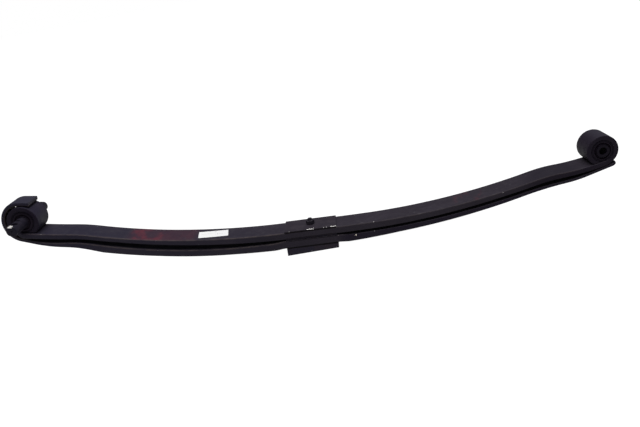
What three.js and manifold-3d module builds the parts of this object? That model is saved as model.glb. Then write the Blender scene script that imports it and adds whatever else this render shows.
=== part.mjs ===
// Two-leaf parabolic front spring of a heavy truck. The main leaf is rolled into an eye at both ends.
// The second leaf wraps loosely round the front eye, so that it still holds the axle if the main leaf
// breaks. The front eye holds a rubber bush on a flat-ended bar pin, and the rear eye a rubber bush
// with a plain inner sleeve. One bolt clamps the leaves, a liner, a top plate and a tapered axle seat.
//
// Millimetres, +Z up. X runs along the spring with the front eye at -X, and Y across it. The origin is
// on the underside of the axle seat, on the axis of the centre bolt.
// The leaves are stacked square to the bolt and lean by SEAT_TAPER, so they are drawn in a group of
// their own, pack, in which the bolt stands upright.

import * as THREE from 'three';
import { mergeVertices } from 'three/addons/utils/BufferGeometryUtils.js';
import Module from 'manifold-3d';

const wasm = await Module();
wasm.setup();

// Driving dimensions
const LEAF_WIDTH = 76.2;
const LEAF_CHAMFER = 2.2;
const FIT_GAP = 0.3;
const SEAT_TAPER = 2.8;               // degrees between the axle seat and the leaves

const SEAT_LENGTH = 134;
const SEAT_WIDTH = 74;
const SEAT_HEIGHT = 17.4;             // at the bolt
const CLAMP_HALF = 66;                // half the straight stretch that the plates clamp
const SECOND_THICK = 20.9;            // in the clamp
const MAIN_THICK = 18.2;              // in the clamp
const LINER = { length: 132, width: 70, thick: 3.5 };
const TOP_PLATE = { length: 134, width: 76, thick: 2.8 };

// Top surface of each half leaf, from the bolt outwards: legs of [length, degrees turned upwards]
const MAIN_FRONT = [[CLAMP_HALF, 0], [276, 7.3], [221, 7.2], [64, -7.1], [111, 3.3]];
const MAIN_REAR = [[CLAMP_HALF, 0], [81, 0.9], [432, 13.2], [66, -10.5], [104, 11]];
const SECOND_FRONT = [
  [CLAMP_HALF, 0], [18, -10], [18, 10], [73, 1.7], [393, 14.3], [72.4, -10.8], [111, 13.9],
];
const SECOND_REAR = [
  [CLAMP_HALF, 0], [18, -9], [18, 9], [45, 1.6], [396, 11.6], [97, -6.3], [20, 1.4], [42, 8.5], [56, 0],
];

// Thickness of each half leaf: [distance from the bolt, thickness], straight between
const MAIN_FRONT_TAPER = [[CLAMP_HALF, MAIN_THICK], [180, 16.8], [490, 11.9], [565, 12.4], [645, 14]];
const MAIN_REAR_TAPER = [[CLAMP_HALF, MAIN_THICK], [180, 17.8], [485, 13.8], [635, 14], [690, 12.6]];
const SECOND_FRONT_TAPER = [
  [CLAMP_HALF, SECOND_THICK], [200, 18.5], [400, 18.2], [540, 19.8], [605, 14.7], [690, 9.1], [900, 10.3],
];
const SECOND_REAR_TAPER = [[CLAMP_HALF, SECOND_THICK], [220, 14.6], [500, 10], [640, 6.5]];

const FRONT_EYE = { bore: 28.4, wall: 12.4, width: 66 };
const REAR_EYE = { bore: 26.5, wall: 11.8, width: 71.6 };
const EYE_NARROWING = 25;             // degrees of roll over which the leaf thins and narrows to the eye
const ROLL_TURN = 333;                // degrees from the flat leaf to the tip of the scarf
const SCARF_GAP = 0.6;
const WRAP = {
  radius: 45.9, tightFrom: 143, tightRadius: 35.9, end: 188, tab: 28.6, width: 57, narrowing: 75,
};
const REAR_TIP = { straight: 10, length: 11, turn: 4, corner: 9 };

const BOLT = { radius: 6, head: 11, headHeight: 8, top: 79.5, hole: 6.5 };
const NUT = { acrossFlats: 19, height: 10.5, bore: 6.3 };
const COUNTERBORE = { radius: 12, depth: 9 };

const FRONT_BUSH = { sleeveWall: 2.4, length: 63, groove: [16.2, 20.8], grooveDepth: 5 };
const REAR_BUSH = { sleeveWall: 2.4, length: 70.6, groove: [17.1, 20.3], grooveDepth: 6 };
const RUBBER_SETBACK = 0.5;           // of the rubber's end faces behind those of the sleeve
const BAR_PIN = {
  radius: 14, length: 190, flat: 43, halfFlat: 11.5, turn: 8.5, hole: 7.5, holeFromEnd: 22,
};
const INNER_SLEEVE = { outer: 15.6, bore: 9.4, length: 75 };
const LABEL = { distance: 255.6, offset: -1.5, length: 76.7, width: 41, skew: 6.9, thick: 0.4 };

// How finely curves are divided
const MAX_STEP = 22;
const MAX_TURN = 10;
const ROUND_SEGMENTS = 36;
const BOLT_SEGMENTS = 24;

const degrees = THREE.MathUtils.degToRad;

// Solids -------------------------------------------------------------------------------------------

function closed(geometry) {
  const bare = geometry.index ? geometry.clone() : geometry;
  bare.deleteAttribute('normal');
  bare.deleteAttribute('uv');
  return mergeVertices(bare, 1e-4);
}

function toManifold(geometry) {
  const merged = closed(geometry);
  return new wasm.Manifold(new wasm.Mesh({
    numProp: 3,
    vertProperties: new Float32Array(merged.attributes.position.array),
    triVerts: new Uint32Array(merged.index.array),
  }));
}

function toGeometry(manifold) {
  const mesh = manifold.getMesh();
  const geometry = new THREE.BufferGeometry();
  geometry.setAttribute('position', new THREE.BufferAttribute(mesh.vertProperties, 3));
  geometry.setIndex(new THREE.BufferAttribute(mesh.triVerts, 1));
  return geometry;
}

function cut(body, ...tools) {
  return toGeometry(tools.reduce((left, tool) => left.subtract(toManifold(tool)), toManifold(body)));
}

function join(body, ...others) {
  return toGeometry(others.reduce((sum, other) => sum.add(toManifold(other)), toManifold(body)));
}

// A cylinder standing on Z, from bottom to top
function post(radius, bottom, top, segments = ROUND_SEGMENTS) {
  return new THREE.CylinderGeometry(radius, radius, top - bottom, segments)
    .rotateX(Math.PI / 2)
    .translate(0, 0, (top + bottom) / 2);
}

function block(length, width, bottom, top) {
  return new THREE.BoxGeometry(length, width, top - bottom).translate(0, 0, (top + bottom) / 2);
}

// A body of revolution round Y. The profile is a closed loop of [radius, y].
function turned(profile) {
  const loop = [...profile, profile[0]].map(([radius, y]) => new THREE.Vector2(radius, y));
  return closed(new THREE.LatheGeometry(loop, ROUND_SEGMENTS));
}

// Leaves -------------------------------------------------------------------------------------------

// Walks the legs outwards from the bolt. u is the distance along the spring, z the height and s the
// length along the surface.
function walk(start, legs) {
  const points = [start];
  for (const [length, turn] of legs) {
    const count = Math.ceil(Math.max(length / MAX_STEP, Math.abs(turn) / MAX_TURN));
    const half = degrees(turn / count) / 2;
    const chord = length / count * (half ? Math.sin(half) / half : 1);
    for (let i = 0; i < count; i += 1) {
      const last = points.at(-1);
      const heading = last.heading + half;
      points.push({
        u: last.u + chord * Math.cos(heading),
        z: last.z + chord * Math.sin(heading),
        heading: heading + half,
        s: last.s + length / count,
      });
    }
  }
  return points;
}

function arcLeg(radius, turn) {
  return [radius * degrees(turn), turn];
}

function centreAbove(point, radius) {
  return {
    u: point.u - radius * Math.sin(point.heading),
    z: point.z + radius * Math.cos(point.heading),
  };
}

function interpolate(table, s) {
  const next = table.findIndex(([at]) => at > s);
  if (next === -1) return table.at(-1)[1];
  if (next === 0) return table[0][1];
  const [s0, t0] = table[next - 1];
  const [s1, t1] = table[next];
  return t0 + (t1 - t0) * (s - s0) / (s1 - s0);
}

function blend(from, to, share) {
  return from + (to - from) * THREE.MathUtils.smoothstep(share, 0, 1);
}

// Half of the main leaf with its eye. The end of the roll is scarfed to lie along the leaf.
function mainHalf(legs, taper, eye) {
  const flat = walk({ u: 0, z: mainTop, heading: 0, s: 0 }, legs);
  const foot = flat.at(-1);
  const roll = walk(foot, [arcLeg(eye.bore, ROLL_TURN)]).slice(1);
  for (const point of flat) {
    point.thick = interpolate(taper, point.s);
    point.halfWidth = LEAF_WIDTH / 2;
  }
  for (const point of roll) {
    const turned = (point.s - foot.s) / eye.bore;
    const scarf = (eye.bore - SCARF_GAP) / Math.cos(2 * Math.PI - turned) - eye.bore;
    const onScarf = turned > 1.5 * Math.PI && scarf < eye.wall;
    const narrowed = turned / degrees(EYE_NARROWING);
    point.thick = onScarf ? scarf : blend(foot.thick, eye.wall, narrowed);
    point.halfWidth = blend(LEAF_WIDTH, eye.width, narrowed) / 2;
  }
  return { points: [...flat, ...roll], eye: centreAbove(foot, eye.bore) };
}

// Front half of the second leaf, which narrows and wraps round the front eye to a flat tab on top
function secondFront() {
  const flat = walk({ u: 0, z: secondTop, heading: 0, s: 0 }, SECOND_FRONT);
  const foot = flat.at(-1);
  const wide = arcLeg(WRAP.radius, WRAP.tightFrom - THREE.MathUtils.radToDeg(foot.heading));
  const tight = arcLeg(WRAP.tightRadius, WRAP.end - WRAP.tightFrom);
  const wrap = walk(foot, [wide, tight, [WRAP.tab, 0]]).slice(1);
  const points = [...flat, ...wrap];
  for (const point of points) {
    point.thick = interpolate(SECOND_FRONT_TAPER, point.s);
    const narrowed = (point.s - foot.s) / WRAP.narrowing + 1;
    point.halfWidth = blend(LEAF_WIDTH, WRAP.width, narrowed) / 2;
  }
  return points;
}

// Rear half of the second leaf, which ends in an upturned tip just past the rear eye
function secondRear() {
  const tipLegs = [[REAR_TIP.straight, 0], [REAR_TIP.length, REAR_TIP.turn]];
  const points = walk({ u: 0, z: secondTop, heading: 0, s: 0 }, [...SECOND_REAR, ...tipLegs]);
  const end = points.at(-1).s;
  for (const point of points) {
    point.thick = interpolate(SECOND_REAR_TAPER, point.s);
    const cornered = 1 - (end - point.s) / REAR_TIP.length;
    point.halfWidth = LEAF_WIDTH / 2 - REAR_TIP.corner * Math.max(0, cornered) ** 2;
  }
  return points;
}

// One corner loop of a flat bar: eight points round a chamfered section, below the surface point
function sectionLoop(point, side) {
  const across = new THREE.Vector3(0, 1, 0);
  const down = new THREE.Vector3(side * Math.sin(point.heading), 0, -Math.cos(point.heading));
  const top = new THREE.Vector3(side * point.u, 0, point.z);
  const bevel = Math.min(LEAF_CHAMFER, point.thick / 3);
  const w = point.halfWidth;
  const t = point.thick;
  const corners = [
    [bevel - w, 0], [w - bevel, 0], [w, bevel], [w, t - bevel],
    [w - bevel, t], [bevel - w, t], [-w, t - bevel], [-w, bevel],
  ];
  return corners.map(([y, depth]) => top.clone().addScaledVector(across, y).addScaledVector(down, depth));
}

// Skins a row of corner loops, all with the same number of corners, and closes both ends
function skin(loops) {
  const size = loops[0].length;
  const position = loops.flat().flatMap((corner) => corner.toArray());
  const index = [];
  for (let row = 0; row + 1 < loops.length; row += 1) {
    for (let i = 0; i < size; i += 1) {
      const a = row * size + i;
      const b = row * size + (i + 1) % size;
      index.push(a, a + size, b, b, a + size, b + size);
    }
  }
  const lastRow = (loops.length - 1) * size;
  for (let i = 1; i + 1 < size; i += 1) {
    index.push(0, i, i + 1, lastRow, lastRow + i + 1, lastRow + i);
  }
  const geometry = new THREE.BufferGeometry();
  geometry.setAttribute('position', new THREE.Float32BufferAttribute(position, 3));
  geometry.setIndex(index);
  return geometry;
}

// A whole leaf from its two halves, with the hole for the centre bolt
function leaf(front, rear) {
  const frontLoops = front.slice(1).reverse().map((point) => sectionLoop(point, -1));
  const rearLoops = rear.map((point) => sectionLoop(point, 1));
  return cut(skin([...frontLoops, ...rearLoops]), post(BOLT.hole, -50, 150, BOLT_SEGMENTS));
}

// Heights in the stack, square to the bolt
const secondBottom = SEAT_HEIGHT + FIT_GAP;
const secondTop = secondBottom + SECOND_THICK;
const linerBottom = secondTop + FIT_GAP;
const mainBottom = linerBottom + LINER.thick + FIT_GAP;
const mainTop = mainBottom + MAIN_THICK;
const plateBottom = mainTop + FIT_GAP;
const plateTop = plateBottom + TOP_PLATE.thick;

const mainFront = mainHalf(MAIN_FRONT, MAIN_FRONT_TAPER, FRONT_EYE);
const mainRear = mainHalf(MAIN_REAR, MAIN_REAR_TAPER, REAR_EYE);

// Clamp hardware -----------------------------------------------------------------------------------

function belowSeat() {
  return block(400, 200, -100, 0).rotateY(-degrees(SEAT_TAPER));
}

function axleSeat() {
  const slab = block(SEAT_LENGTH, SEAT_WIDTH, -20, SEAT_HEIGHT);
  const hole = post(BOLT.hole, -50, 50, BOLT_SEGMENTS);
  const counterbore = post(COUNTERBORE.radius, -50, COUNTERBORE.depth);
  return cut(slab, belowSeat(), hole, counterbore);
}

function plateWithHole({ length, width, thick }, bottom) {
  const top = bottom + thick;
  return cut(block(length, width, bottom, top), post(BOLT.hole, bottom - 1, top + 1, BOLT_SEGMENTS));
}

function centreBolt() {
  const shank = post(BOLT.radius, -5, BOLT.top, BOLT_SEGMENTS);
  const head = post(BOLT.head, -5, BOLT.headHeight);
  return cut(join(shank, head), belowSeat());
}

function centreNut() {
  const bottom = plateTop + FIT_GAP;
  const corner = NUT.acrossFlats / 2 / Math.cos(Math.PI / 6);
  const hexagon = post(corner, bottom, bottom + NUT.height, 6);
  return cut(hexagon, post(NUT.bore, bottom - 1, bottom + NUT.height + 1, BOLT_SEGMENTS));
}

// Bushes -------------------------------------------------------------------------------------------

function tube(outer, inner, length) {
  const half = length / 2;
  return turned([[inner, -half], [outer, -half], [outer, half], [inner, half]]);
}

// Rubber ring with a moulded groove in each end face
function rubberRing(outer, inner, length, groove, depth) {
  const half = length / 2;
  const floor = half - depth;
  const [low, high] = groove;
  return turned([
    [inner, -half], [low, -half], [low + 0.5, -floor], [high - 0.5, -floor], [high, -half], [outer, -half],
    [outer, half], [high, half], [high - 0.5, floor], [low + 0.5, floor], [low, half], [inner, half],
  ]);
}

// Round pin with two flats and a bolt hole at each end
function barPin() {
  const { radius, length, flat, halfFlat, hole, holeFromEnd } = BAR_PIN;
  const half = length / 2;
  const edge = 1.5;
  const centreDrill = [[3, half], [0, half - 4]];
  const round = turned([
    [0, 4 - half], [3, -half], [radius - edge, -half], [radius, edge - half],
    [radius, half - edge], [radius - edge, half], ...centreDrill,
  ]);
  const tools = [];
  for (const end of [-1, 1]) {
    for (const face of [-1, 1]) {
      const slab = new THREE.BoxGeometry(4 * radius, flat * 2, radius);
      tools.push(slab.translate(0, end * half, face * (halfFlat + radius / 2)));
    }
    tools.push(post(hole, -radius, radius, BOLT_SEGMENTS).translate(0, end * (half - holeFromEnd), 0));
  }
  return cut(round, ...tools).rotateY(degrees(BAR_PIN.turn));
}

// Label --------------------------------------------------------------------------------------------

// A point on the top surface of the front half of the main leaf, lifted square to it
function onFrontLeaf(s, y, lift) {
  const next = mainFront.points.findIndex((point) => point.s >= s);
  const before = mainFront.points[next - 1];
  const after = mainFront.points[next];
  const share = (s - before.s) / (after.s - before.s);
  const heading = THREE.MathUtils.lerp(before.heading, after.heading, share);
  const u = THREE.MathUtils.lerp(before.u, after.u, share) - lift * Math.sin(heading);
  const z = THREE.MathUtils.lerp(before.z, after.z, share) + lift * Math.cos(heading);
  return new THREE.Vector3(-u, y, z);
}

// A sticker bent to the leaf, stuck on a little askew
function label() {
  const skew = degrees(LABEL.skew);
  const steps = 4;
  const loops = [];
  for (let i = 0; i <= steps; i += 1) {
    const along = (i / steps - 0.5) * LABEL.length;
    const place = (across, lift) => onFrontLeaf(
      LABEL.distance - along * Math.cos(skew) + across * Math.sin(skew),
      LABEL.offset + along * Math.sin(skew) + across * Math.cos(skew),
      lift,
    );
    const half = LABEL.width / 2;
    const top = FIT_GAP + LABEL.thick;
    loops.push([place(-half, top), place(half, top), place(half, FIT_GAP), place(-half, FIT_GAP)]);
  }
  return skin(loops);
}

// Assembly -----------------------------------------------------------------------------------------

const BLACK_PAINT = { color: 0x2b292e, roughness: 0.5, metalness: 0.2 };
const RUBBER = { color: 0x17161a, roughness: 0.9, metalness: 0 };
const DARK_STEEL = { color: 0x35333a, roughness: 0.45, metalness: 0.7 };
const PAPER = { color: 0xe8e8e6, roughness: 0.8, metalness: 0 };

const pack = new THREE.Group();
pack.rotation.y = degrees(SEAT_TAPER);

function add(name, geometry, finish, parent = pack) {
  const mesh = new THREE.Mesh(geometry, new THREE.MeshStandardMaterial(finish));
  mesh.name = name;
  parent.add(mesh);
  return mesh;
}

add('main_leaf', leaf(mainFront.points, mainRear.points), BLACK_PAINT);
add('second_leaf', leaf(secondFront(), secondRear()), BLACK_PAINT);
add('axle_seat_wedge', axleSeat(), BLACK_PAINT);
add('centre_liner', plateWithHole(LINER, linerBottom), BLACK_PAINT);
add('top_plate', plateWithHole(TOP_PLATE, plateBottom), BLACK_PAINT);
add('centre_bolt', centreBolt(), DARK_STEEL);
add('centre_nut', centreNut(), DARK_STEEL);
add('part_label', label(), PAPER);

const frontEye = new THREE.Group();
frontEye.position.set(-mainFront.eye.u, 0, mainFront.eye.z);
const frontSleeve = FRONT_EYE.bore - 0.1 - FIT_GAP;
const frontRubber = frontSleeve - FRONT_BUSH.sleeveWall - FIT_GAP;
add('front_bush_outer_sleeve', tube(frontSleeve, frontSleeve - FRONT_BUSH.sleeveWall, FRONT_BUSH.length),
  DARK_STEEL, frontEye);
add('front_bush_rubber', rubberRing(frontRubber, BAR_PIN.radius + FIT_GAP, FRONT_BUSH.length - 2 * RUBBER_SETBACK,
  FRONT_BUSH.groove, FRONT_BUSH.grooveDepth), RUBBER, frontEye);
add('bar_pin', barPin(), DARK_STEEL, frontEye);
pack.add(frontEye);

const rearEye = new THREE.Group();
rearEye.position.set(mainRear.eye.u, 0, mainRear.eye.z);
const rearSleeve = REAR_EYE.bore - 0.1 - FIT_GAP;
const rearRubber = rearSleeve - REAR_BUSH.sleeveWall - FIT_GAP;
add('rear_bush_outer_sleeve', tube(rearSleeve, rearSleeve - REAR_BUSH.sleeveWall, REAR_BUSH.length),
  DARK_STEEL, rearEye);
add('rear_bush_rubber', rubberRing(rearRubber, INNER_SLEEVE.outer + FIT_GAP, REAR_BUSH.length - 2 * RUBBER_SETBACK,
  REAR_BUSH.groove, REAR_BUSH.grooveDepth), RUBBER, rearEye);
add('rear_bush_inner_sleeve', tube(INNER_SLEEVE.outer, INNER_SLEEVE.bore, INNER_SLEEVE.length),
  DARK_STEEL, rearEye);
pack.add(rearEye);

const spring = new THREE.Group();
spring.add(pack);
export default spring;
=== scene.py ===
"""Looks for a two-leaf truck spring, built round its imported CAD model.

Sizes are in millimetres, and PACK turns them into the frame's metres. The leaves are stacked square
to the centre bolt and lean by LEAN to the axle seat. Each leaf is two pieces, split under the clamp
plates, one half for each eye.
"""

import math
import random

import bmesh
import bpy
from mathutils import Matrix, Vector, noise


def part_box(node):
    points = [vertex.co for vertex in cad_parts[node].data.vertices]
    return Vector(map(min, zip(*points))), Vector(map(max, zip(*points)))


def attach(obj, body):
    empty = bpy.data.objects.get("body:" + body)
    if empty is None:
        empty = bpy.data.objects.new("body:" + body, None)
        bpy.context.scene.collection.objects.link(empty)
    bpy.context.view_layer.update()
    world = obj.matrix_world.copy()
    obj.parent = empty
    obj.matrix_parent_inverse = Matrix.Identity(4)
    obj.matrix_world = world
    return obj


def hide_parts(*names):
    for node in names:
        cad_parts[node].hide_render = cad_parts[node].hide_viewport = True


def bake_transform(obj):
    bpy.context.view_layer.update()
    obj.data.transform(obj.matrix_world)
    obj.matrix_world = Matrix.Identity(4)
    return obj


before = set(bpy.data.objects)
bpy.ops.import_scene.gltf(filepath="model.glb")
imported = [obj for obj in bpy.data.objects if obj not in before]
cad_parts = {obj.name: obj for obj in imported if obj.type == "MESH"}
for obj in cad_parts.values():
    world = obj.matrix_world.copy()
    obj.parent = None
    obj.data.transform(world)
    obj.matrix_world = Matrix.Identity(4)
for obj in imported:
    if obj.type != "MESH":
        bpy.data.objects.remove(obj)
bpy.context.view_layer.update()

MM = 0.001
LEAN = math.radians(2.8)
PACK = Matrix.Rotation(LEAN, 4, "Y") @ Matrix.Scale(MM, 4)

# Leaves
LEAF_WIDTH = 76.2
FIT_GAP = 0.3
SEAT_HEIGHT = 17.4
CLAMP_HALF = 66
SECOND_THICK = 20.9
MAIN_THICK = 18.2
SEAT_LENGTH = 134
SEAT_WIDTH = 74
LINER = {"length": 132, "width": 70, "thick": 3.5}
TOP_PLATE = {"length": 134, "width": 76, "thick": 2.8}
MAIN_FRONT = [(CLAMP_HALF, 0), (276, 7.3), (221, 7.2), (64, -7.1), (111, 3.3)]
MAIN_REAR = [(CLAMP_HALF, 0), (81, 0.9), (432, 13.2), (66, -10.5), (104, 11)]
SECOND_FRONT = [(CLAMP_HALF, 0), (18, -10), (18, 10), (73, 1.7), (393, 14.3), (72.4, -10.8), (111, 13.9)]
SECOND_REAR = [(CLAMP_HALF, 0), (18, -9), (18, 9), (45, 1.6), (396, 11.6), (97, -6.3), (20, 1.4), (42, 8.5),
               (56, 0)]
MAIN_FRONT_TAPER = [(CLAMP_HALF, MAIN_THICK), (180, 16.8), (490, 11.9), (565, 12.4), (645, 14)]
MAIN_REAR_TAPER = [(CLAMP_HALF, MAIN_THICK), (180, 17.8), (485, 13.8), (635, 14), (690, 12.6)]
SECOND_FRONT_TAPER = [(CLAMP_HALF, SECOND_THICK), (200, 18.5), (400, 18.2), (540, 19.8), (605, 14.7),
                      (690, 9.1), (900, 10.3)]
SECOND_REAR_TAPER = [(CLAMP_HALF, SECOND_THICK), (220, 14.6), (500, 10), (640, 6.5)]
FRONT_EYE = {"bore": 28.4, "wall": 12.4, "width": 66}
REAR_EYE = {"bore": 26.5, "wall": 11.8, "width": 71.6}
EYE_NARROWING = 25
ROLL_TURN = 333
SCARF_GAP = 0.6
WRAP = {"radius": 45.9, "tight_from": 143, "tight_radius": 35.9, "end": 188, "tab": 28.6, "width": 57,
        "narrowing": 75}
REAR_TIP = {"straight": 10, "length": 11, "turn": 4, "corner": 9}

# Clamp hardware
BOLT = {"radius": 6, "head": 11, "head_height": 8, "top": 79.5, "hole": 6.5, "pitch": 1.75}
NUT = {"across_flats": 19, "height": 10.5, "bore": 6.3}
COUNTERBORE = {"radius": 12, "depth": 9}

# Bushes
SLEEVE_WALL = 2.4
FRONT_BUSH = {"length": 63, "groove": (16.2, 20.8), "depth": 5}
REAR_BUSH = {"length": 70.6, "groove": (17.1, 20.3), "depth": 6}
RUBBER_SETBACK = 0.5
BAR_PIN = {"radius": 14, "length": 190, "flat": 43, "half_flat": 11.5, "turn": 8.5, "hole": 7.5,
           "hole_from_end": 22}
INNER_SLEEVE = {"outer": 15.6, "bore": 9.4, "length": 75}
LABEL = {"distance": 255.6, "offset": -1.5, "length": 76.7, "width": 41, "skew": 6.9, "thick": 0.4}

# How finely the leaves are divided and how their edges run
STEP = 5
TURN_STEP = 3
EDGE_RADIUS = 2.2
SIDE_CROWN = 0.35
END_ROUNDING = [(1.0, 0.0), (0.45, 0.15), (0.12, 0.45), (0.0, 0.9)]  # (distance from the end, inset)
ROUND = 96

# Heights in the stack, square to the bolt
SECOND_TOP = SEAT_HEIGHT + FIT_GAP + SECOND_THICK
LINER_BOTTOM = SECOND_TOP + FIT_GAP
MAIN_TOP = LINER_BOTTOM + LINER["thick"] + FIT_GAP + MAIN_THICK
PLATE_BOTTOM = MAIN_TOP + FIT_GAP
PLATE_TOP = PLATE_BOTTOM + TOP_PLATE["thick"]

# Floor
FLOOR_HALF = 200
FLOOR_DROP = 0.0004


# Camera, lights and floor --------------------------------------------------------------------------

def add_camera():
    camera = bpy.data.objects.new("camera", bpy.data.cameras.new("camera"))
    camera.data.lens = 36
    camera.data.sensor_width = 36
    turn, tilt, roll = (math.radians(angle) for angle in (4.104, 69.84, -11.28))
    camera.matrix_world = (
        Matrix.Translation((0.1441, -1.5507, 0.6577))
        @ Matrix.Rotation(turn, 4, "Z")
        @ Matrix.Rotation(tilt, 4, "X")
        @ Matrix.Rotation(roll, 4, "Z")
    )
    bpy.context.scene.collection.objects.link(camera)
    bpy.context.scene.camera = camera


def add_area_light(name, size, power, place, target=(0, 0, 0.1)):
    light = bpy.data.lights.new(name, "AREA")
    light.shape = "DISK"
    light.size = size
    light.energy = power
    lamp = bpy.data.objects.new(name, light)
    lamp.location = place
    lamp.rotation_euler = (Vector(target) - Vector(place)).to_track_quat("-Z", "Y").to_euler()
    bpy.context.scene.collection.objects.link(lamp)


def add_studio():
    add_world()
    add_area_light("overhead", 3.0, 150, (0.1, -0.2, 2.6))

    floor = mesh_object("floor", square(FLOOR_HALF), [(0, 1, 2, 3)], Matrix.Translation((0, 0, -FLOOR_DROP)))
    graph = Graph("floor_white")
    graph.set({
        "Base Color": (0.06, 0.06, 0.06, 1),
        "Roughness": 0.9,
        "Specular IOR Level": 0.1,
        "Emission Color": (1, 1, 1, 1),
        "Emission Strength": 1.0,
    })
    floor.data.materials.append(graph.material)


def add_world():
    """A dim sky that the camera sees as a white backdrop."""
    world = bpy.data.worlds.new("studio")
    world.use_nodes = True
    tree = world.node_tree
    sky = tree.nodes["Background"]
    sky.inputs["Color"].default_value = (0.90, 0.94, 1.0, 1)
    sky.inputs["Strength"].default_value = 0.22
    backdrop = tree.nodes.new("ShaderNodeBackground")
    backdrop.inputs["Color"].default_value = (1, 1, 1, 1)
    backdrop.inputs["Strength"].default_value = 1.0
    seen = tree.nodes.new("ShaderNodeLightPath")
    choose = tree.nodes.new("ShaderNodeMixShader")
    tree.links.new(seen.outputs["Is Camera Ray"], choose.inputs[0])
    tree.links.new(sky.outputs[0], choose.inputs[1])
    tree.links.new(backdrop.outputs[0], choose.inputs[2])
    tree.links.new(choose.outputs[0], tree.nodes["World Output"].inputs["Surface"])
    bpy.context.scene.world = world


def square(half):
    """The corners of the floor, which is centred under the part."""
    return [(-half, -half, 0), (half, -half, 0), (half, half, 0), (-half, half, 0)]


# Mesh tools ----------------------------------------------------------------------------------------

def mesh_object(name, points, faces, matrix=PACK):
    mesh = bpy.data.meshes.new(name)
    mesh.from_pydata([matrix @ Vector(point) for point in points], [], faces)
    shell = bmesh.new()
    shell.from_mesh(mesh)
    bmesh.ops.remove_doubles(shell, verts=shell.verts, dist=1e-7)
    bmesh.ops.recalc_face_normals(shell, faces=shell.faces)
    shell.to_mesh(mesh)
    shell.free()
    piece = bpy.data.objects.new(name, mesh)
    bpy.context.scene.collection.objects.link(piece)
    return piece


def apply_modifiers(piece):
    ready = piece.evaluated_get(bpy.context.evaluated_depsgraph_get())
    mesh = bpy.data.meshes.new_from_object(ready)
    piece.modifiers.clear()
    piece.data = mesh


def combine(piece, operation, *tools):
    """Cuts the piece with the tools or intersects it with them. The tools are used up."""
    for tool in tools:
        modifier = piece.modifiers.new(tool.name, "BOOLEAN")
        modifier.operation = operation
        modifier.solver = "EXACT"
        modifier.object = tool
    apply_modifiers(piece)
    for tool in tools:
        bpy.data.objects.remove(tool)


def round_edges(piece, radius, segments=3, sharper_than=25):
    bevel = piece.modifiers.new("round_edges", "BEVEL")
    bevel.width = radius * MM
    bevel.segments = segments
    bevel.limit_method = "ANGLE"
    bevel.angle_limit = math.radians(sharper_than)
    bevel.use_clamp_overlap = True
    apply_modifiers(piece)


def shade(piece, sharp=32):
    piece.data.shade_smooth()
    piece.data.set_sharp_from_angle(angle=math.radians(sharp))
    weights = piece.modifiers.new("weighted_normals", "WEIGHTED_NORMAL")
    weights.keep_sharp = True


def remember_place(piece, inverse=None):
    """Keeps where each vertex is at rest, for the materials, so that they don't slide as it bends."""
    back = inverse or PACK.inverted()
    attribute = piece.data.attributes.new("place", "FLOAT_VECTOR", "POINT")
    flat = [value * MM for vertex in piece.data.vertices for value in back @ vertex.co]
    attribute.data.foreach_set("vector", flat)


def finish_piece(piece, material, node, body=None):
    """What every piece needs: its material, its body, and the CAD node it stands for hidden.

    A piece that bends has no body here."""
    if "place" not in piece.data.attributes:
        remember_place(piece)
    shade(piece)
    piece.data.materials.clear()
    piece.data.materials.append(material)
    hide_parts(node)
    if body:
        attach(piece, body)
    return piece


def box_object(name, length, width, bottom, top, matrix=PACK):
    x, y = length / 2, width / 2
    points = [(sx * x, sy * y, z) for z in (bottom, top) for sx, sy in ((-1, -1), (1, -1), (1, 1), (-1, 1))]
    faces = [(0, 3, 2, 1), (4, 5, 6, 7), (0, 1, 5, 4), (1, 2, 6, 5), (2, 3, 7, 6), (3, 0, 4, 7)]
    return mesh_object(name, points, faces, matrix)


def lathe(name, profile, matrix, segments=ROUND):
    """A body of revolution round the matrix's Z axis. The profile is a loop of (radius, height), or
    starts and ends on the axis."""
    rings = len(profile)
    points, faces = [], []
    for step in range(segments):
        angle = 2 * math.pi * step / segments
        points += [(r * math.cos(angle), r * math.sin(angle), h) for r, h in profile]
    on_axis = profile[0][0] == 0
    for step in range(segments):
        here, there = step * rings, (step + 1) % segments * rings
        for i in range(rings - 1 if on_axis else rings):
            j = (i + 1) % rings
            faces.append((here + i, here + j, there + j, there + i))
    piece = mesh_object(name, points, faces, matrix)
    shell = bmesh.new()
    shell.from_mesh(piece.data)
    bmesh.ops.dissolve_degenerate(shell, dist=1e-7, edges=shell.edges)
    shell.to_mesh(piece.data)
    shell.free()
    return piece


def rounded(outline, radius, closed=True, steps=4):
    """An outline with an arc in place of each corner. Corners on the axis stay as they are."""
    points = [Vector(point) for point in outline]
    result = []
    for i, corner in enumerate(points):
        ends = not closed and i in (0, len(points) - 1)
        if ends or corner.x == 0:
            result.append(tuple(corner))
            continue
        before = points[i - 1] - corner
        after = points[(i + 1) % len(points)] - corner
        reach = min(radius, 0.45 * before.length, 0.45 * after.length)
        start = corner + before.normalized() * reach
        stop = corner + after.normalized() * reach
        for k in range(steps + 1):
            t = k / steps
            result.append(tuple(start * (1 - t) ** 2 + corner * 2 * t * (1 - t) + stop * t * t))
    return result


def along_y(centre):
    """Z axis of the lathe turned to lie along Y at a point of the frame."""
    return Matrix.Translation(centre) @ Matrix.Rotation(-math.pi / 2, 4, "X") @ Matrix.Scale(MM, 4)


# Leaves --------------------------------------------------------------------------------------------

def smooth(share):
    share = min(1, max(0, share))
    return share * share * (3 - 2 * share)


def blend(first, last, share):
    return first + (last - first) * smooth(share)


def interpolate(table, s):
    """The value at s of a table of (s, value), which stays level past its ends."""
    if s <= table[0][0]:
        return table[0][1]
    for (s0, t0), (s1, t1) in zip(table, table[1:]):
        if s < s1:
            return t0 + (t1 - t0) * (s - s0) / (s1 - s0)
    return table[-1][1]


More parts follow.
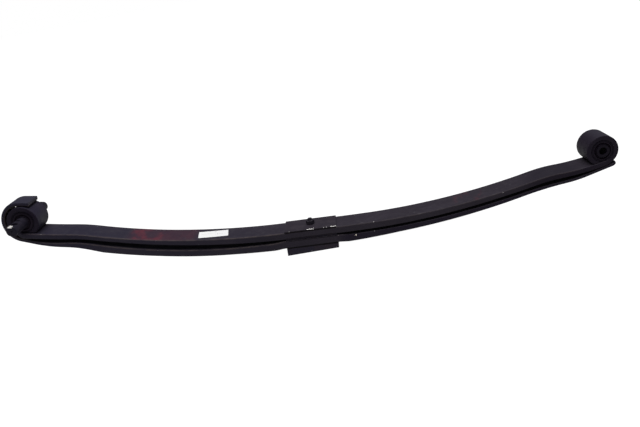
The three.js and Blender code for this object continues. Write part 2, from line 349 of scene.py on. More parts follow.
def station(u, z, heading, s):
    """A point of a leaf's top: outwards, upwards, its direction, and the length so far."""
    return {"u": u, "z": z, "heading": heading, "s": s}


def walk(start, legs, step=STEP):
    """Stations along the top surface, from the bolt outwards. A leg is (length, degrees upwards)."""
    stations = [start]
    for length, turn in legs:
        count = math.ceil(max(length / step, abs(turn) / TURN_STEP))
        half = math.radians(turn / count) / 2
        chord = length / count * (math.sin(half) / half if half else 1)
        for _ in range(count):
            last = stations[-1]
            heading = last["heading"] + half
            stations.append(station(
                last["u"] + chord * math.cos(heading),
                last["z"] + chord * math.sin(heading),
                heading + half,
                last["s"] + length / count,
            ))
    return stations


def arc_leg(radius, turn):
    return (radius * math.radians(turn), turn)


def main_half(legs, taper, eye):
    """One half of the main leaf: the tapered flat, then the roll that closes on it with a scarfed end."""
    flat = walk(station(0, MAIN_TOP, 0, 0), legs)
    foot = flat[-1]
    roll = walk(foot, [arc_leg(eye["bore"], ROLL_TURN)])[1:]
    for point in flat:
        point["thick"] = interpolate(taper, point["s"])
        point["half_width"] = LEAF_WIDTH / 2
    for point in roll:
        turned = (point["s"] - foot["s"]) / eye["bore"]
        scarf = (eye["bore"] - SCARF_GAP) / math.cos(2 * math.pi - turned) - eye["bore"]
        on_scarf = turned > 1.5 * math.pi and scarf < eye["wall"]
        narrowed = turned / math.radians(EYE_NARROWING)
        point["thick"] = scarf if on_scarf else blend(foot["thick"], eye["wall"], narrowed)
        point["half_width"] = blend(LEAF_WIDTH, eye["width"], narrowed) / 2
    return flat + roll


def second_front():
    """The second leaf's front half, which runs on round the front eye in two arcs and a straight tab."""
    flat = walk(station(0, SECOND_TOP, 0, 0), SECOND_FRONT)
    foot = flat[-1]
    wide = arc_leg(WRAP["radius"], WRAP["tight_from"] - math.degrees(foot["heading"]))
    tight = arc_leg(WRAP["tight_radius"], WRAP["end"] - WRAP["tight_from"])
    points = flat + walk(foot, [wide, tight, (WRAP["tab"], 0)])[1:]
    for point in points:
        point["thick"] = interpolate(SECOND_FRONT_TAPER, point["s"])
        narrowed = (point["s"] - foot["s"]) / WRAP["narrowing"] + 1
        point["half_width"] = blend(LEAF_WIDTH, WRAP["width"], narrowed) / 2
    return points


def second_rear():
    """The second leaf's rear half, which ends in a tip with rounded corners."""
    tip_legs = [(REAR_TIP["straight"], 0), (REAR_TIP["length"], REAR_TIP["turn"])]
    points = walk(station(0, SECOND_TOP, 0, 0), SECOND_REAR + tip_legs)
    end = points[-1]["s"]
    for point in points:
        point["thick"] = interpolate(SECOND_REAR_TAPER, point["s"])
        cornered = 1 - (end - point["s"]) / REAR_TIP["length"]
        point["half_width"] = LEAF_WIDTH / 2 - REAR_TIP["corner"] * max(0, cornered) ** 2
    return points


def section(half_width, thick, inset=0.0):
    """Round-edged flat bar as (across, depth, edge) points, with edge 1 on the round corners."""
    radius = max(0.2, min(EDGE_RADIUS, 0.3 * thick) - inset * 0.5)
    w = half_width - inset
    low, high = inset, thick - inset
    flat = w - radius - SIDE_CROWN
    across = [-1, -0.97, -0.8, -0.6, -0.4, -0.2, 0, 0.2, 0.4, 0.6, 0.8, 0.97, 1]
    corner = [(math.sin(angle), math.cos(angle)) for angle in (math.radians(a) for a in (18, 36, 54, 72))]
    sides = [0, 0.08, 0.35, 0.65, 0.92, 1]

    def side_y(depth):
        return w - SIDE_CROWN * (2 * (depth - low) / max(0.01, high - low) - 1) ** 2

    right = [(flat + radius * x, low + radius * (1 - y), 1) for x, y in corner]
    for share in sides:
        depth = low + radius + (high - low - 2 * radius) * share
        right.append((side_y(depth), depth, 1 if share in (0, 1) else 0))
    right += [(flat + radius * x, high - radius * (1 - y), 1) for x, y in reversed(corner)]
    top = [(flat * share, low, 1 if abs(share) == 1 else 0) for share in across]
    bottom = [(y, high, edge) for y, _, edge in reversed(top)]
    left = [(-y, depth, edge) for y, depth, edge in reversed(right)]
    return top + right + bottom + left


def waviness(along, across, depth, thick):
    """Small inward dents left by rolling and forging, in millimetres."""
    where = Vector((along / 60, across / 26, depth / 20))
    broad = 0.5 + 0.5 * noise.noise(where)
    fine = 0.5 + 0.5 * noise.noise(where * 5.3 + Vector((7.1, 3.3, 1.7)))
    return min(0.16, 0.02 * thick) * (0.7 * broad + 0.3 * fine)


def leaf_half(name, stations, side):
    """Skins one half of a leaf. The side is -1 for the front and 1 for the rear."""
    end = stations[-1]["s"]
    rows = [(point, 0.0) for point in stations if point["s"] < end - 1.2]
    before, last = stations[-2], stations[-1]
    for back, inset in END_ROUNDING:
        share = 1 - back / (last["s"] - before["s"])
        mixed = {key: before[key] + (last[key] - before[key]) * share for key in last}
        rows.append((mixed, min(inset, 0.25 * mixed["thick"])))
    points, faces, places, edges = [], [], [], []
    for point, inset in rows:
        sin, cos = math.sin(point["heading"]), math.cos(point["heading"])
        thick = point["thick"]
        for y, depth, edge in section(point["half_width"], thick, inset):
            dent = waviness(side * point["s"], y, depth, thick)
            inward = -1 if depth > thick / 2 else 1
            nearness = smooth(2 * min(depth, thick - depth) / thick)
            d = depth + inward * dent * (1 - nearness)
            y_in = y - math.copysign(dent * nearness, y) if abs(y) > 1 else y
            points.append((side * (point["u"] + d * sin), y_in, point["z"] - d * cos))
            places.append((side * point["s"] * MM, y * MM, depth * MM))
            edges.append(float(edge))
    size = len(points) // len(rows)
    for row in range(len(rows) - 1):
        for i in range(size):
            j = (i + 1) % size
            faces.append((row * size + i, row * size + j, (row + 1) * size + j, (row + 1) * size + i))
    faces.append(tuple(range(size)))
    faces.append(tuple(range(len(points) - size, len(points))))

    piece = mesh_object(name, points, faces)
    place = piece.data.attributes.new("place", "FLOAT_VECTOR", "POINT")
    place.data.foreach_set("vector", [value for row in places for value in row])
    # The round corners, where the paint chips and where the edge highlight is painted.
    worn = piece.data.attributes.new("edge", "FLOAT", "POINT")
    worn.data.foreach_set("value", edges)
    hole = lathe("hole", [(0, -50), (BOLT["hole"], -50), (BOLT["hole"], 150), (0, 150)], PACK, 48)
    combine(piece, "DIFFERENCE", hole)
    return piece


def add_leaves():
    halves = (
        ("main_leaf", "front", main_half(MAIN_FRONT, MAIN_FRONT_TAPER, FRONT_EYE)),
        ("main_leaf", "rear", main_half(MAIN_REAR, MAIN_REAR_TAPER, REAR_EYE)),
        ("second_leaf", "front", second_front()),
        ("second_leaf", "rear", second_rear()),
    )
    for node, end, stations in halves:
        side = -1 if end == "front" else 1
        piece = leaf_half(f"{node}_{end}_half", stations, side)
        finish_piece(piece, leaf_paint(node), node)
        bend_with(piece)


def bend_with(piece):
    """Bakes the piece's transform into its mesh."""
    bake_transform(piece)


# Clamp hardware ------------------------------------------------------------------------------------

def hole_tool(radius, bottom, top, matrix=PACK):
    return lathe("hole", [(0, bottom), (radius, bottom), (radius, top), (0, top)], matrix, 64)


def below_seat():
    """Everything under the axle seat's plane, to cut the wedge and the bolt head flush with it."""
    return box_object("below", 400, 200, -100, 0, Matrix.Scale(MM, 4))


def add_seat():
    seat = box_object("axle_seat_block", SEAT_LENGTH, SEAT_WIDTH, -20, SEAT_HEIGHT)
    counterbore = hole_tool(COUNTERBORE["radius"], -50, COUNTERBORE["depth"])
    combine(seat, "DIFFERENCE", below_seat())
    combine(seat, "DIFFERENCE", counterbore)
    combine(seat, "DIFFERENCE", hole_tool(BOLT["hole"], -50, 50))
    round_edges(seat, 1.1)
    finish_piece(seat, seat_paint(), "axle_seat_wedge", "leaf_pack")


def add_plate(name, node, size, bottom, material, edge):
    plate = box_object(name, size["length"], size["width"], bottom, bottom + size["thick"])
    combine(plate, "DIFFERENCE", hole_tool(BOLT["hole"], bottom - 1, bottom + size["thick"] + 1))
    round_edges(plate, edge)
    finish_piece(plate, material, node, "leaf_pack")


def thread(name, radius, pitch, bottom, top, matrix):
    """A screw thread with a plain run-out at the bottom and a chamfered end at the top."""
    columns, per_pitch = 48, 8
    rows = math.ceil((top - bottom) / pitch * per_pitch)
    depth = 0.55 * pitch
    flank = 0.42
    lowest = radius - depth - 0.2
    points, faces = [(0, 0, bottom)], []
    for row in range(rows + 1):
        z = bottom + (top - bottom) * row / rows
        for column in range(columns):
            turn = column / columns
            phase = (z / pitch - turn) % 1
            ridge = 1 - min(1, abs(phase - 0.5) / flank)
            runs_in = smooth((z - bottom) / pitch)
            chamfer = radius - 0.25 * pitch + min(0.25 * pitch, (top - z) * 0.8)
            r = min(radius - depth * (1 - ridge) * runs_in, max(chamfer, lowest))
            angle = 2 * math.pi * turn
            points.append((r * math.cos(angle), r * math.sin(angle), z))
    points.append((0, 0, top))
    for column in range(columns):
        after = (column + 1) % columns
        faces.append((0, 1 + after, 1 + column))
        faces.append((len(points) - 1, 1 + rows * columns + column, 1 + rows * columns + after))
        for row in range(rows):
            here, above = 1 + row * columns, 1 + (row + 1) * columns
            faces.append((here + column, here + after, above + after, above + column))
    return mesh_object(name, points, faces, matrix)


def add_bolt():
    shank = BOLT["radius"]
    start = PLATE_BOTTOM
    profile = [(0, -5), (BOLT["head"], -5), (BOLT["head"], BOLT["head_height"]), (shank, BOLT["head_height"]),
               (shank, start), (0, start)]
    bolt = lathe("centre_bolt_shank", rounded(profile, 0.8), PACK)
    combine(bolt, "DIFFERENCE", below_seat())
    finish_piece(bolt, dark_steel("bolt_steel"), "centre_bolt", "leaf_pack")
    end = thread("centre_bolt_thread", shank, BOLT["pitch"], start, BOLT["top"], PACK)
    finish_piece(end, dark_steel("bolt_steel"), "centre_bolt", "leaf_pack")


def add_nut():
    bottom = PLATE_TOP + FIT_GAP
    top = bottom + NUT["height"]
    flat = NUT["across_flats"] / 2
    corner = flat / math.cos(math.pi / 6)
    nut = lathe("centre_nut_hexagon", [(0, bottom), (corner, bottom), (corner, top), (0, top)], PACK, 6)
    cone = 0.55 * (corner - flat) + 0.5
    chamfers = [(0, bottom - 0.01), (flat - 0.3, bottom - 0.01), (corner + 0.3, bottom + cone),
                (corner + 0.3, top - cone), (flat - 0.3, top + 0.01), (0, top + 0.01)]
    combine(nut, "INTERSECT", lathe("chamfers", chamfers, PACK))
    bore, lead = NUT["bore"], 0.9
    hole = [(0, bottom - 1), (bore + lead + 1, bottom - 1), (bore, bottom + lead), (bore, top - lead),
            (bore + lead + 1, top + 1), (0, top + 1)]
    combine(nut, "DIFFERENCE", lathe("hole", hole, PACK, 64))
    round_edges(nut, 0.3, 2)
    finish_piece(nut, dark_steel("nut_steel"), "centre_nut", "leaf_pack")


# Bushes --------------------------------------------------------------------------------------------

def ring(outer, inner, length):
    half = length / 2
    return rounded([(inner, -half), (outer, -half), (outer, half), (inner, half)], 0.7)


def rubber_profile(outer, inner, bush):
    """The moulded ring: a groove in each end face, with a rolled lip on both sides of it."""
    half = bush["length"] / 2 - RUBBER_SETBACK
    floor = half - bush["depth"]
    low, high = bush["groove"]
    loop = [
        (inner, -half + 0.8), (inner + 0.8, -half), (low, -half), (low + 0.5, -floor), (high - 0.5, -floor),
        (high, -half), (outer - 0.8, -half), (outer, -half + 0.8),
    ]
    return rounded(loop + [(r, -h) for r, h in reversed(loop)], 1.2, steps=5)


def add_bush(end, centre, bore, bush, core):
    axis = along_y(centre)
    outer = bore - 0.1 - FIT_GAP
    rubber_outer = outer - SLEEVE_WALL - FIT_GAP
    sleeve = lathe(f"{end}_bush_sleeve", ring(outer, outer - SLEEVE_WALL, bush["length"]), axis)
    finish_piece(sleeve, shaded_face_paint(), f"{end}_bush_outer_sleeve", f"{end}_eye")
    rubber = lathe(f"{end}_bush_moulding", rubber_profile(rubber_outer, core + FIT_GAP, bush), axis)
    finish_piece(rubber, rubber_material(), f"{end}_bush_rubber", f"{end}_eye")


def add_bar_pin(centre):
    radius, half = BAR_PIN["radius"], BAR_PIN["length"] / 2
    chamfer = 1.5
    profile = [(0, 4 - half), (3, -half), (radius - chamfer, -half), (radius, chamfer - half)]
    profile += [(r, -h) for r, h in reversed(profile)]
    pin = lathe("bar_pin_body", profile, along_y(centre))
    lean = Matrix.Translation(centre) @ PACK @ Matrix.Rotation(math.radians(BAR_PIN["turn"]), 4, "Y")
    for end in (-1, 1):
        middle = Matrix.Translation((0, end * half, 0))
        near, far = BAR_PIN["half_flat"], 2 * radius
        lower = box_object("flat", 4 * radius, 2 * BAR_PIN["flat"], -far, -near, lean @ middle)
        upper = box_object("flat", 4 * radius, 2 * BAR_PIN["flat"], near, far, lean @ middle)
        hole_at = Matrix.Translation((0, end * (half - BAR_PIN["hole_from_end"]), 0))
        combine(pin, "DIFFERENCE", lower, upper)
        combine(pin, "DIFFERENCE", hole_tool(BAR_PIN["hole"], -far, far, lean @ hole_at))
    round_edges(pin, 0.5, 2)
    remember_place(pin, lean.inverted())
    finish_piece(pin, pin_steel(), "bar_pin", "front_pin")


def add_inner_sleeve(centre):
    profile = ring(INNER_SLEEVE["outer"], INNER_SLEEVE["bore"], INNER_SLEEVE["length"])
    sleeve = lathe("rear_bush_core", profile, along_y(centre))
    finish_piece(sleeve, shaded_face_paint(), "rear_bush_inner_sleeve", "rear_sleeve")


def middle_of(node):
    low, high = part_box(node)
    return (low + high) / 2


# Label ---------------------------------------------------------------------------------------------

def on_front_leaf(stations, s, y, lift):
    """A point at a height above the main leaf's front half, at the length s from the bolt."""
    after = next(i for i, point in enumerate(stations) if point["s"] >= s)
    first, last = stations[after - 1], stations[after]
    share = (s - first["s"]) / (last["s"] - first["s"])
    u, z, heading = (first[key] + (last[key] - first[key]) * share for key in ("u", "z", "heading"))
    return (-(u - lift * math.sin(heading)), y, z + lift * math.cos(heading))


def print_marks():
    """Generic print: rows of (across, from, to, height, darkness), as shares of the label's size."""
    rows = [(0.50, 0.07, 0.26, 0.05, 0.5), (0.56, 0.29, 0.46, 0.05, 0.6), (0.47, 0.70, 0.82, 0.09, 0.35),
            (0.88, 0.83, 0.93, 0.04, 0.2), (0.44, 0.88, 0.92, 0.06, 0.25), (0.85, 0.55, 0.59, 0.12, 0.75),
            (0.42, 0.56, 0.58, 0.16, 0.45), (0.45, 0.63, 0.65, 0.2, 0.7)]
    chance = random.Random(4)
    marks = []
    for across, first, last, height, dark in rows:
        at = first
        while at < last:
            width = 0.008 + 0.014 * chance.random()
            marks.append((at, min(last, at + width), across, height, dark * (0.6 + 0.4 * chance.random())))
            at += width + 0.008
    return marks


def add_label():
    """The sticker: a fine grid laid on the leaf, slightly askew, and closed round its rim."""
    stations = main_half(MAIN_FRONT, MAIN_FRONT_TAPER, FRONT_EYE)
    skew = math.radians(LABEL["skew"])
    columns, rows = 120, 60
    marks = print_marks()
    points, faces, places, ink = [], [], [], []
    for side in (1, 0):
        for row in range(rows + 1):
            for column in range(columns + 1):
                a, b = column / columns, row / rows
                along = (0.5 - a) * -LABEL["length"]
                across = (b - 0.5) * LABEL["width"]
                s = LABEL["distance"] - along * math.cos(skew) + across * math.sin(skew)
                y = LABEL["offset"] + along * math.sin(skew) + across * math.cos(skew)
                lift = FIT_GAP + (LABEL["thick"] if side else 0.05)
                points.append(on_front_leaf(stations, s, y, lift))
                places.append((a, b, side))
                dark = [d for x0, x1, v, h, d in marks if x0 <= a <= x1 and abs(b - v) < h / 2]
                ink.append(max(dark, default=0.0) if side else 0.0)
    width, sheet = columns + 1, (columns + 1) * (rows + 1)
    for row in range(rows):
        for column in range(columns):
            a = row * width + column
            faces.append((a, a + 1, a + width + 1, a + width))
            faces.append((sheet + a, sheet + a + width, sheet + a + width + 1, sheet + a + 1))
    rim = ([(0, c) for c in range(columns)] + [(r, columns) for r in range(rows)]
           + [(rows, c) for c in range(columns, 0, -1)] + [(r, 0) for r in range(rows, 0, -1)])
    for (r0, c0), (r1, c1) in zip(rim, rim[1:] + rim[:1]):
        a, b = r0 * width + c0, r1 * width + c1
        faces.append((a, sheet + a, sheet + b, b))
    label = mesh_object("part_label_sheet", points, faces)
    label.data.attributes.new("place", "FLOAT_VECTOR", "POINT").data.foreach_set(
        "vector", [value for row in places for value in row])
    label.data.attributes.new("ink", "FLOAT", "POINT").data.foreach_set("value", ink)
    finish_piece(label, label_paper(), "part_label")
    bend_with(label)


# Materials -----------------------------------------------------------------------------------------

class Graph:
    """The node tree of one material, with a short call for each kind of node that it uses."""

    def __init__(self, name):
        self.material = bpy.data.materials.new(name)
        self.material.use_nodes = True
        self.tree = self.material.node_tree
        self.shader = self.tree.nodes["Principled BSDF"]

    def node(self, kind, inputs, **settings):
        node = self.tree.nodes.new(kind)
        for key, value in settings.items():
            setattr(node, key, value)
        self.fill(node, inputs)
        return node

    def fill(self, node, inputs):
        for key, value in inputs.items():
            if isinstance(value, bpy.types.NodeSocket):
                self.tree.links.new(value, node.inputs[key])
            else:
                node.inputs[key].default_value = value

    def set(self, inputs):
        self.fill(self.shader, inputs)

    def attribute(self, name, output="Vector"):
        return self.node("ShaderNodeAttribute", {}, attribute_name=name).outputs[output]

    def axes(self, vector):
        return self.node("ShaderNodeSeparateXYZ", {0: vector}).outputs

    def noise(self, where, scale, detail=3, roughness=0.5, stretch=(1, 1, 1)):
        scaled = self.node("ShaderNodeVectorMath", {0: where, 1: stretch}, operation="MULTIPLY")
        made = self.node("ShaderNodeTexNoise", {
            "Vector": scaled.outputs[0], "Scale": scale, "Detail": detail, "Roughness": roughness,
        })
        return made.outputs[0]

    def cells(self, where, scale):
        made = self.node("ShaderNodeTexVoronoi", {"Vector": where, "Scale": scale})
        return made.outputs["Distance"]

    def band(self, value, low, high, first=0.0, last=1.0):
        """Rises smoothly from first to last as value goes from low to high."""
        made = self.node("ShaderNodeMapRange", {
            "Value": value, "From Min": low, "From Max": high, "To Min": first, "To Max": last,
        }, interpolation_type="SMOOTHSTEP")
        return made.outputs["Result"]

    def window(self, value, low, high, soft):
        rises = self.band(value, low - soft, low + soft)
        falls = self.band(value, high - soft, high + soft, 1.0, 0.0)
        return self.times(rises, falls)

    def maths(self, operation, a, b=0.5):
        return self.node("ShaderNodeMath", {0: a, 1: b}, operation=operation).outputs[0]

    def others(self, share):
        """1 where the share is 0 and 0 where it is 1."""
        return self.band(share, 0, 1, 1.0, 0.0)

    def uneven(self, value, where, scale, spread):
        """The value, moved up or down by noise of the given spread."""
        centred = self.maths("SUBTRACT", self.noise(where, scale, 2), 0.5)
        return self.maths("ADD", value, self.times(centred, spread))

    def times(self, first, *others):
        for other in others:
            first = self.maths("MULTIPLY", first, other)
        return first

    def most(self, first, *others):
        for other in others:
            first = self.maths("MAXIMUM", first, other)
        return first

    def mix(self, share, first, last):
        made = self.node("ShaderNodeMix", {0: share, 6: first, 7: last}, data_type="RGBA")
        return made.outputs[2]

    def bump(self, height, distance, strength=1.0, normal=None):
        inputs = {"Height": height, "Distance": distance, "Strength": strength}
        if normal:
            inputs["Normal"] = normal
        return self.node("ShaderNodeBump", inputs).outputs["Normal"]


# Paint tones, with the painted light and shade laid over them
BLUE_BLACK = (0.0100, 0.0086, 0.0170, 1)
PURPLE_BLACK = (0.0130, 0.0104, 0.0150, 1)
WORN_BLACK = (0.0205, 0.0170, 0.0235, 1)
SPECKLE = (0.0210, 0.0170, 0.0230, 1)
DUST = (0.036, 0.034, 0.040, 1)
RED_DUST = (0.105, 0.014, 0.021, 1)
RUBBED = (0.085, 0.082, 0.090, 1)
# Painted highlight for the leaves' upper edge corners.
PAINTED_EDGE_HIGHLIGHT = (0.055, 0.043, 0.040, 1)
# Painted light for the top of the rear eye.
PAINTED_CROWN_LIGHT = (0.0250, 0.0235, 0.0320, 1)
# Painted light for the wrap tab's upturned outer face.
PAINTED_TAB_LIGHT = (0.0200, 0.0200, 0.0310, 1)
END_SHADE = (0.0032, 0.0014, 0.0056, 1)
TOP_SHADE = (0.0045, 0.0035, 0.0070, 1)
LOW_SHADE = (0.0040, 0.0030, 0.0065, 1)
REAR_SHADE = (0.0035, 0.0018, 0.0080, 1)
WRAP_SHADE = (0.0030, 0.0010, 0.0036, 1)
# Painted shade for the seams between clamped parts.
CREVICE_SHADE = (0.0015, 0.0006, 0.0015, 1)
PALE_CHIP = (0.80, 0.72, 0.60, 1)
BARE_STEEL = (0.72, 0.70, 0.67, 1)

# Stretches of the top plate's near edge where the paint has come off, from the bolt, in metres
WORN_STRETCHES = [(-0.009, 0.009), (0.051, 0.068), (0.034, 0.0355), (0.041, 0.0425), (-0.0551, -0.0545)]

made_materials = {}


def once(build):
    """Makes each material only once for the same name."""
    def get(*names):
        key = (build.__name__, *names)
        if key not in made_materials:
            made_materials[key] = build(*names)
        return made_materials[key]
    return get


def paint_surface(graph, where, colour, bare=None, dull=None):
    """Satin paint over shot-peened steel: fine dimples, orange peel and a little uneven gloss."""
    peel = graph.noise(where, 260, 2)
    dimples = graph.cells(where, 700)
    grain = graph.noise(where, 1900, 2)
    gloss = graph.band(graph.noise(where, 38, 4), 0.3, 0.7, 0.52, 0.66)
    rough = graph.bump(dimples, 0.00012, 0.35)
    normal = graph.bump(peel, 0.00025, 0.5, rough)
    speckle = graph.band(grain, 0.35, 0.75, 0.0, 0.35)
    colour = graph.mix(speckle, colour, SPECKLE)
    if dull:
        gloss = graph.most(gloss, dull)
    if bare:
        colour = graph.mix(bare, colour, BARE_STEEL)
        graph.set({"Metallic": bare})
        gloss = graph.maths("SUBTRACT", gloss, graph.times(bare, 0.12))
    graph.set({"Base Color": colour, "Roughness": gloss, "Normal": normal, "Specular IOR Level": 0.06})


@once
def leaf_paint(node):
    """A leaf's paint. "place" holds metres from the bolt, across the leaf and down from its top."""
    graph = Graph(f"{node}_paint")
    where = graph.attribute("place")
    along, across, depth = (graph.axes(where)[i] for i in range(3))
    edge = graph.attribute("edge", "Fac")
    patches = graph.noise(where, 9, 4, stretch=(1, 2, 2))
    colour = graph.mix(graph.band(along, -0.55, 0.15), BLUE_BLACK, PURPLE_BLACK)
    colour = graph.mix(graph.band(patches, 0.35, 0.75, 0.0, 0.5), colour, WORN_BLACK)
    on_top = graph.band(depth, 0.0012, 0.0004)
    side_face = graph.others(on_top)
    dust = graph.times(graph.band(graph.noise(where, 70, 5, 0.65), 0.45, 0.8), on_top, 0.35)
    colour = graph.mix(dust, colour, DUST)
    clamped = graph.window(graph.maths("ABSOLUTE", along), -1, CLAMP_HALF * MM, 0.0004)
    if node == "main_leaf":
        thick = MAIN_THICK
        colour = graph.mix(overspray(graph, where, along, on_top), colour, RED_DUST)
        colour = graph.mix(scuffs(graph, where, along, on_top), colour, RUBBED)
        colour = main_leaf_ends(graph, colour, along, across, depth, side_face)
        # Where the painted edge highlight falls on the main leaf: full on the front half, weaker on the rear
        # half, none on the eyes.
        between_eyes = graph.window(along, -0.735, 0.690, 0.010)
        lit = graph.times(graph.band(along, -0.12, 0.10, 1.0, 0.35), between_eyes)
        dull = None
    else:
        thick = SECOND_THICK
        shaded = graph.times(graph.band(along, 0.060, 0.100), side_face, 0.75)
        colour = graph.mix(shaded, colour, REAR_SHADE)
        inside_wrap = graph.times(graph.band(along, -0.735, -0.765), graph.band(depth, 0.0040, 0.0015))
        colour = graph.mix(inside_wrap, colour, WRAP_SHADE)
        # Painted light: a lighter, bluer colour on the wrap tab's upturned outer face.
        tab = graph.times(graph.band(along, -0.845, -0.870), graph.band(depth, 0.0075, 0.0090), 0.4)
        colour = graph.mix(tab, colour, PAINTED_TAB_LIGHT)
        # Where the painted edge highlight falls on the second leaf: its front half, outside the clamp.
        lit = graph.times(graph.band(along, 0.02, 0.10, 1.0, 0.0), graph.others(clamped))
        dull = graph.times(inside_wrap, 0.95)
    upper = graph.band(depth, 0.004, 0.002)
    # Painted highlight on the upper edge corners, broken up by noise and scaled by lit.
    highlight_breaks = graph.band(graph.noise(where, 45, 3), 0.3, 0.6, 0.25, 1.0)
    colour = graph.mix(graph.times(edge, upper, highlight_breaks, lit, 0.5), colour, PAINTED_EDGE_HIGHLIGHT)
    # Painted shade in the seams between the clamped leaves.
    top_seam = graph.times(graph.band(depth, 0.0030, 0.0020), side_face)
    low_seam = graph.band(depth, (thick - 3.0) * MM, (thick - 2.0) * MM)
    colour = graph.mix(graph.times(clamped, graph.most(top_seam, low_seam)), colour, CREVICE_SHADE)
    if node == "second_leaf":
        colour = graph.mix(side_chip(graph, along, across, depth), colour, PALE_CHIP)
    chips = graph.band(graph.noise(where, 330, 2, 0.6), 0.735, 0.765)
    rare = graph.band(graph.noise(where, 17, 1), 0.57, 0.62)
    paint_surface(graph, where, colour, graph.times(edge, chips, rare), dull)
    return graph.material


def side_chip(graph, along, across, depth):
    """One pale chip on the near side, just behind the clamp."""
    length = graph.window(along, 0.1130, 0.1155, 0.0005)
    height = graph.window(depth, 0.0020, 0.0050, 0.0004)
    return graph.times(length, height, graph.band(across, -0.0365, -0.0375))


def main_leaf_ends(graph, colour, along, across, depth, side_face):
    """Paints shade on the rear end, the eyes' end faces and the top just before the rear eye; paints light on
    the top of the rear eye and shade on its lower side.
    """
    rolled = graph.most(graph.band(along, 0.745, 0.775), graph.band(along, -0.735, -0.765))
    face = graph.band(graph.maths("ABSOLUTE", across), 0.0300, 0.0325)
    rear_side = graph.times(graph.band(along, 0.50, 0.62), side_face)
    shaded = graph.times(graph.most(graph.times(rolled, face), rear_side), 0.8)
    colour = graph.mix(shaded, colour, END_SHADE)
    far_top = graph.times(graph.window(along, 0.56, 0.69, 0.03), graph.others(side_face), 0.6)
    colour = graph.mix(far_top, colour, TOP_SHADE)
    outer = graph.band(depth, 0.0105, 0.0115)
    # Painted light on the top of the rear eye's outer surface, and painted shade on its lower side.
    crown = graph.times(graph.window(along, 0.806, 0.836, 0.014), outer, 0.5)
    colour = graph.mix(crown, colour, PAINTED_CROWN_LIGHT)
    low = graph.times(graph.band(along, 0.862, 0.885), outer, 0.5)
    return graph.mix(low, colour, LOW_SHADE)


def overspray(graph, where, along, on_top):
    """Red paint dust from marking the leaf, thick at its front end and thin towards the label."""
    strokes = graph.noise(where, 30, 4, 0.6, stretch=(1.0, 0.55, 1))
    thick = graph.times(graph.window(along, -0.470, -0.385, 0.012), graph.band(strokes, 0.38, 0.62))
    thin = graph.times(graph.window(along, -0.472, -0.300, 0.014), graph.band(strokes, 0.2, 0.7, 0.25, 0.7))
    rear = graph.times(graph.window(along, 0.375, 0.445, 0.015), graph.band(strokes, 0.5, 0.7), 0.5)
    return graph.times(graph.most(thick, graph.times(thin, 0.55), rear), on_top, 0.46)


def scuffs(graph, where, along, on_top):
    """Pale rubbed marks towards the rear eye and faint streaks elsewhere."""
    streaks = graph.band(graph.noise(where, 120, 3, 0.6, stretch=(0.35, 1, 1)), 0.63, 0.72)
    rubbed = graph.most(graph.window(along, 0.455, 0.485, 0.006), graph.window(along, 0.555, 0.575, 0.006),
                        graph.window(along, 0.61, 0.635, 0.008))
    few = graph.band(graph.noise(where, 11, 1), 0.55, 0.65)
    return graph.times(graph.most(rubbed, graph.times(few, 0.5)), streaks, on_top, 0.8)


def patchy_blue(graph, where):
    patches = graph.band(graph.noise(where, 35, 4), 0.35, 0.7)
    return graph.mix(patches, BLUE_BLACK, (0.0165, 0.0120, 0.0170, 1))


@once
def liner_paint():
    graph = Graph("liner_paint")
    where = graph.attribute("place")
    paint_surface(graph, where, patchy_blue(graph, where))
    return graph.material


@once
def seat_paint():
    """The wedge's paint, with shade painted along the seam under the leaves."""
    graph = Graph("seat_paint")
    where = graph.attribute("place")
    height = graph.axes(where)[2]
    # Painted shade along the top of the wedge, under the leaves.
    seam = graph.band(height, (SEAT_HEIGHT - 2.4) * MM, (SEAT_HEIGHT - 1.4) * MM)
    colour = graph.mix(seam, patchy_blue(graph, where), CREVICE_SHADE)
    paint_surface(graph, where, colour)
    return graph.material


@once
def shaded_face_paint():
    """Dull paint on the ends of the bush sleeves, a darker copy of the leaves' paint with the shade of the
    eyes' end faces painted into it.
    """
    graph = Graph("bush_shaded_paint")
    where = graph.attribute("place")
    colour = graph.mix(graph.noise(where, 90, 3), (0.0034, 0.0022, 0.0050, 1), (0.0062, 0.0044, 0.0084, 1))
    normal = graph.bump(graph.noise(where, 900, 3), 0.0001, 0.4)
    graph.set({"Base Color": colour, "Roughness": 0.66, "Normal": normal, "Specular IOR Level": 0.06})
    return graph.material


@once
def plate_paint():
    """The top plate's paint, worn to bare steel along its near edge, with shade painted along the lower part
    of its sides.
    """
    graph = Graph("plate_paint")
    where = graph.attribute("place")
    x, y, z = (graph.axes(where)[i] for i in range(3))
    patches = graph.noise(where, 45, 4)
    colour = graph.mix(graph.band(patches, 0.35, 0.7), PURPLE_BLACK, (0.0190, 0.0155, 0.0200, 1))
    ragged = graph.uneven(x, where, 400, 0.006)
    worn = graph.most(*(graph.window(ragged, low, high, 0.0008) for low, high in WORN_STRETCHES))
    near = graph.band(graph.uneven(y, where, 260, 0.003), -0.0367, -0.0371)
    upper = graph.band(z, (PLATE_TOP - 0.9) * MM, (PLATE_TOP - 0.6) * MM)
    # Painted shade along the plate's lower edge, where it sits on the main leaf.
    colour = graph.mix(graph.band(z, (PLATE_TOP - 1.3) * MM, (PLATE_TOP - 1.8) * MM), colour, CREVICE_SHADE)
    paint_surface(graph, where, colour, graph.times(worn, near, upper))
    return graph.material


@once
def dark_steel(name):
    """Blackened steel of the bolt and the nut."""
    graph = Graph(name)
    where = graph.attribute("place")
    patches = graph.noise(where, 120, 4)
    patches = graph.band(patches, 0.35, 0.7)
    colour = graph.mix(patches, (0.0085, 0.0070, 0.0120, 1), (0.0160, 0.0125, 0.0175, 1))
    gloss = graph.band(graph.noise(where, 200, 3), 0.3, 0.7, 0.42, 0.56)
    normal = graph.bump(graph.noise(where, 900, 3), 0.0001, 0.4)
    graph.set({"Base Color": colour, "Roughness": gloss, "Normal": normal, "Specular IOR Level": 0.12})
    return graph.material


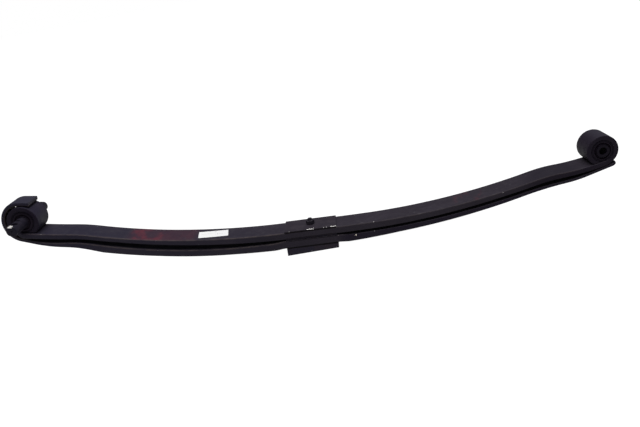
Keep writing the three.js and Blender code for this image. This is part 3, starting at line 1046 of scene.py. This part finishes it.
@once
def pin_steel():
    """Painted steel, rubbed bright at one end of a flat."""
    graph = Graph("pin_steel")
    where = graph.attribute("place")
    x, y, z = (graph.axes(where)[i] for i in range(3))
    end = graph.band(graph.uneven(y, where, 160, 0.012), -0.082, -0.085)
    flat = graph.band(z, 0.0092, 0.0097)
    left = graph.band(graph.uneven(x, where, 160, 0.012), 0.003, 0.001)
    mottled = graph.band(graph.noise(where, 90, 4), 0.35, 0.7)
    colour = graph.mix(mottled, (0.0050, 0.0045, 0.0090, 1), (0.0095, 0.0080, 0.0130, 1))
    paint_surface(graph, where, colour, graph.times(end, flat, left))
    return graph.material


@once
def rubber_material():
    """Dull moulded rubber, faintly mottled."""
    graph = Graph("bush_rubber")
    where = graph.attribute("place")
    mottled = graph.noise(where, 300, 4)
    colour = graph.mix(mottled, (0.0060, 0.0038, 0.0080, 1), (0.0105, 0.0072, 0.0125, 1))
    normal = graph.bump(graph.noise(where, 1300, 3), 0.00012, 0.5)
    graph.set({"Base Color": colour, "Roughness": 0.72, "Normal": normal, "Specular IOR Level": 0.06})
    return graph.material


@once
def label_paper():
    """White paper with grey print where the "ink" attribute says so."""
    graph = Graph("label_paper")
    where = graph.attribute("place")
    ink = graph.attribute("ink", "Fac")
    worn = graph.noise(where, 14, 4, stretch=(1.7, 1, 1))
    paper = graph.mix(worn, (0.455, 0.455, 0.460, 1), (0.510, 0.510, 0.505, 1))
    colour = graph.mix(ink, paper, (0.10, 0.10, 0.11, 1))
    normal = graph.bump(graph.noise(where, 6, 2), 0.0003, 0.3)
    graph.set({"Base Color": colour, "Roughness": 0.5, "Normal": normal, "Specular IOR Level": 0.1})
    return graph.material


# The scene -----------------------------------------------------------------------------------------

add_camera()
add_studio()
bpy.context.scene.view_settings.view_transform = "Standard"

add_leaves()
add_seat()
add_plate("liner_plate", "centre_liner", LINER, LINER_BOTTOM, liner_paint(), 0.5)
add_plate("clamp_top_plate", "top_plate", TOP_PLATE, PLATE_BOTTOM, plate_paint(), 0.5)
add_bolt()
add_nut()
front_centre = middle_of("bar_pin")
rear_centre = middle_of("rear_bush_inner_sleeve")
add_bush("front", front_centre, FRONT_EYE["bore"], FRONT_BUSH, BAR_PIN["radius"])
add_bush("rear", rear_centre, REAR_EYE["bore"], REAR_BUSH, INNER_SLEEVE["outer"])
add_bar_pin(front_centre)
add_inner_sleeve(rear_centre)
add_label()
